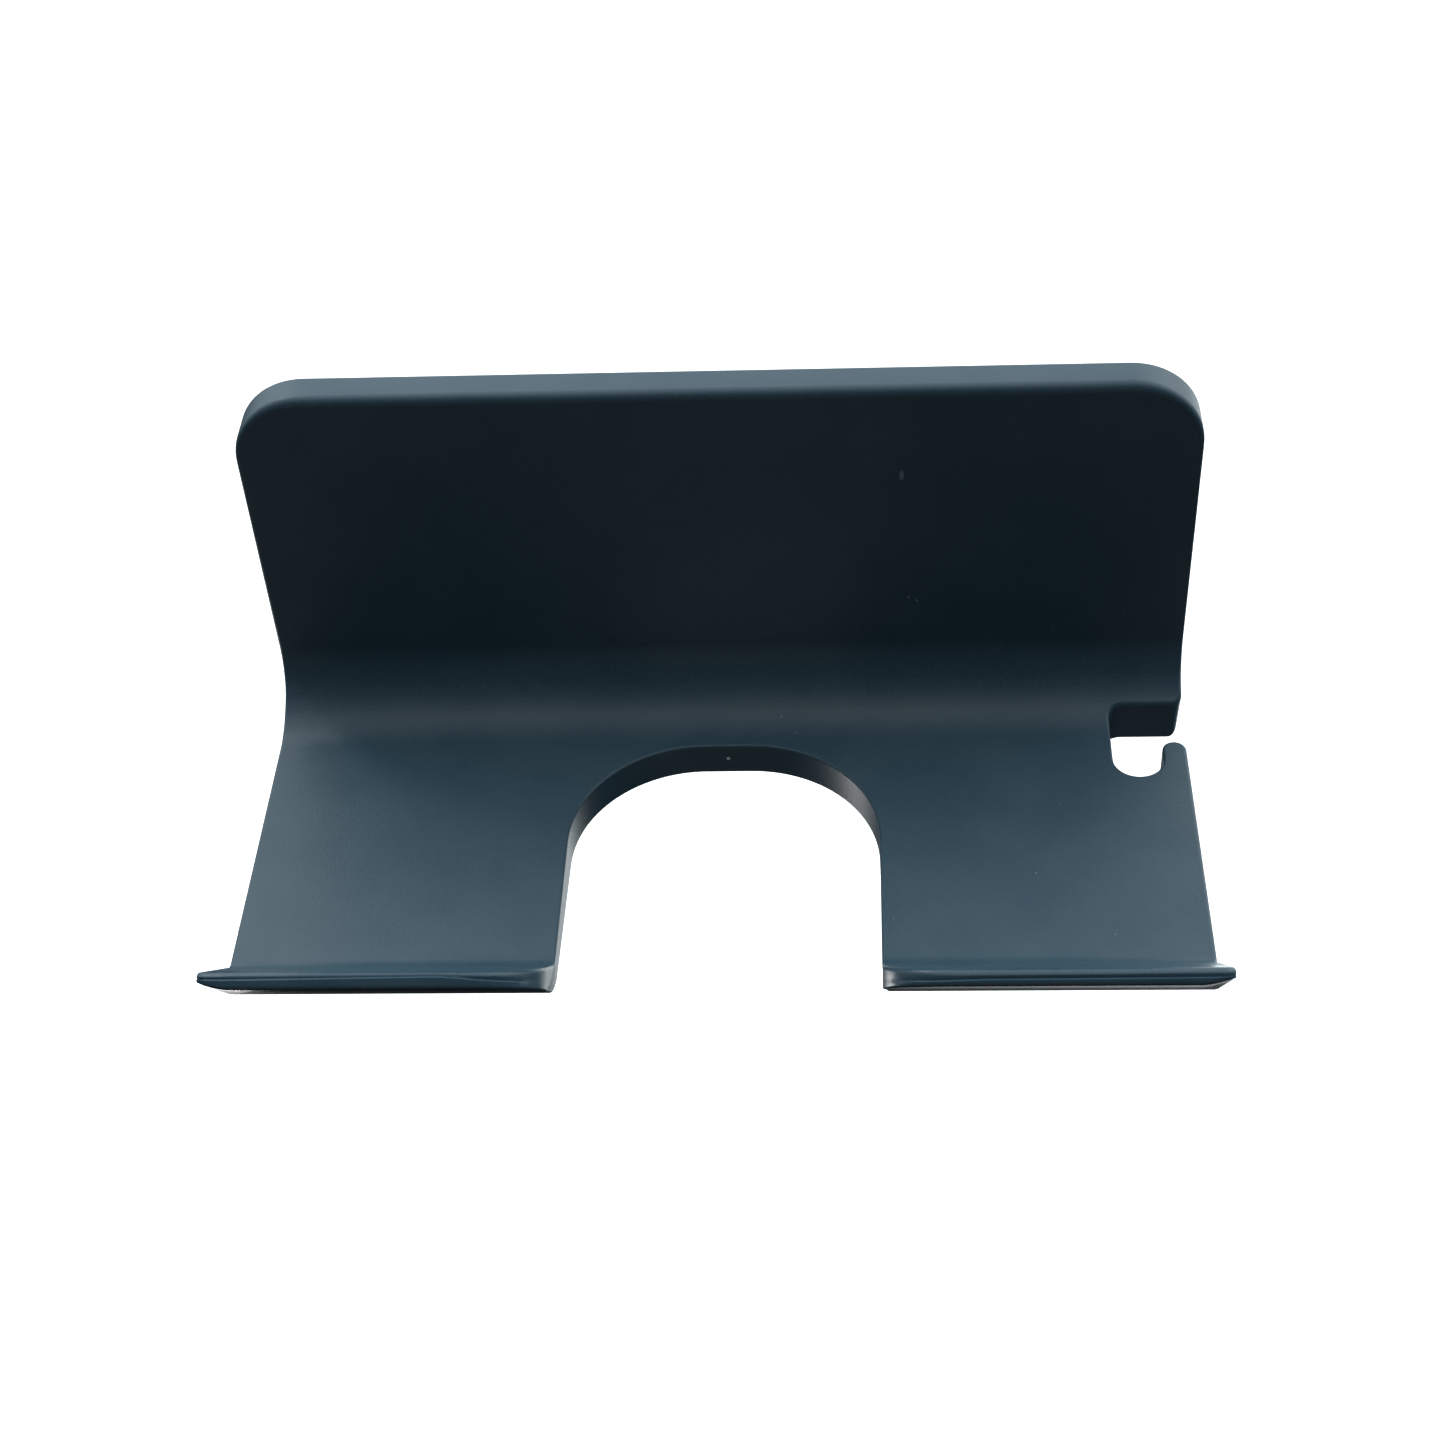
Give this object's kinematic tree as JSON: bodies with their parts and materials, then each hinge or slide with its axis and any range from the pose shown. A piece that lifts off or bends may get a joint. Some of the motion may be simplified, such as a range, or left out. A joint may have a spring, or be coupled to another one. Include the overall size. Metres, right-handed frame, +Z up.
{
  "type": "hair dryer holder",
  "caption": "Wall bracket for a hair dryer: a plate and a shelf in one moulding, with a U-shaped cut-out, raised front lips and a cord slot at one side, fixed by foam tape.",
  "frame": {"origin": "centre of the face that sticks to the wall, which is the outer face of the middle strip of tape", "axes": "+Y points into the wall, +Z up, +X to the side with the cord slot, which is the right as a person facing the holder sees it"},
  "size_m": [0.16, 0.087, 0.0732],
  "materials": {
    "moulded_plastic": "fine matte grain, dark slate blue-grey",
    "foam_tape": "white closed-cell acrylic foam with a tacky satin face"
  },
  "bodies": {
    "root": {"holder_body": "moulded_plastic", "left_tape": "foam_tape", "centre_tape": "foam_tape", "right_tape": "foam_tape"}
  },
  "joints": []
}
